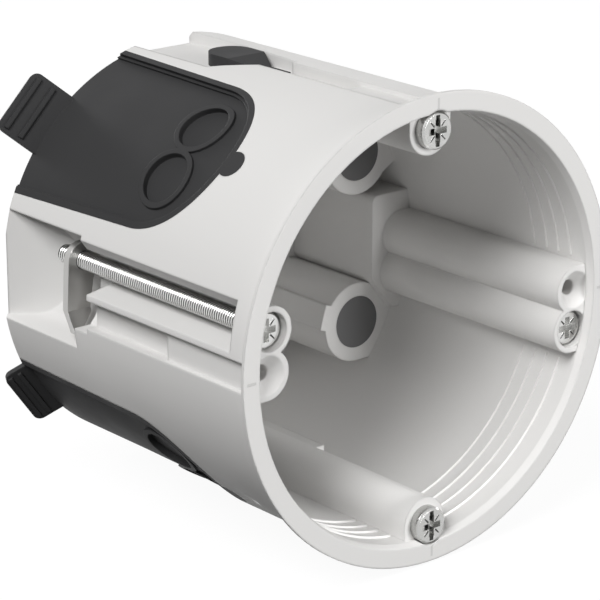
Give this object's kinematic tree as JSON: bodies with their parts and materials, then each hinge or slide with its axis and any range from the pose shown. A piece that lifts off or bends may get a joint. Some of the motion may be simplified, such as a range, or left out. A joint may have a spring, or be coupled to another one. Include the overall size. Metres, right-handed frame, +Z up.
{
  "type": "drywall back box",
  "caption": "Round deep installation box for a plasterboard wall, with claws drawn by screws, soft cable entries and device screws.",
  "frame": {"origin": "centre of the rim's front face, on the axis of the box", "axes": "+Y along the axis into the wall, +Z up, +X to the right seen from the room"},
  "size_m": [0.071, 0.0656, 0.071],
  "materials": {
    "grey_plastic": "fine satin moulding, light grey",
    "black_rubber": "matt soft moulding, black",
    "zinc_sheet": "zinc-plated sheet",
    "zinc_screw": "bright zinc plating"
  },
  "bodies": {
    "box": {"housing": "grey_plastic", "entry_panel_upper": "black_rubber", "entry_panel_lower": "black_rubber", "tube_seal_upper": "black_rubber", "tube_seal_lower": "black_rubber", "soft_plug_top": "black_rubber", "soft_plug_bottom": "black_rubber"},
    "claw_left": {"claw_left": "zinc_sheet"},
    "claw_right": {"claw_right": "zinc_sheet"},
    "claw_screw_left": {"claw_screw_left": "zinc_screw"},
    "claw_screw_right": {"claw_screw_right": "zinc_screw"},
    "device_screw_top": {"device_screw_top": "zinc_screw"},
    "device_screw_bottom": {"device_screw_bottom": "zinc_screw"}
  },
  "joints": [
    {"name": "claw_left_swing", "type": "hinge", "parent": "box", "child": "claw_left", "pos_m": [-0.0295, 0.0455, 0.0062], "axis": [0, 1, 0], "range_deg": [0, 90]},
    {"name": "claw_right_swing", "type": "hinge", "parent": "box", "child": "claw_right", "pos_m": [0.0295, 0.0455, -0.0062], "axis": [0, 1, 0], "range_deg": [0, 90]},
    {"name": "claw_screw_left_turn", "type": "hinge", "parent": "box", "child": "claw_screw_left", "pos_m": [-0.0295, 0.0225, 0.0062], "axis": [0, 1, 0], "continuous": true},
    {"name": "claw_screw_right_turn", "type": "hinge", "parent": "box", "child": "claw_screw_right", "pos_m": [0.0295, 0.0225, -0.0062], "axis": [0, 1, 0], "continuous": true},
    {"name": "device_screw_top_turn", "type": "hinge", "parent": "box", "child": "device_screw_top", "pos_m": [0, 0.008, 0.03], "axis": [0, 1, 0], "continuous": true},
    {"name": "device_screw_bottom_turn", "type": "hinge", "parent": "box", "child": "device_screw_bottom", "pos_m": [0, 0.008, -0.03], "axis": [0, 1, 0], "continuous": true}
  ]
}
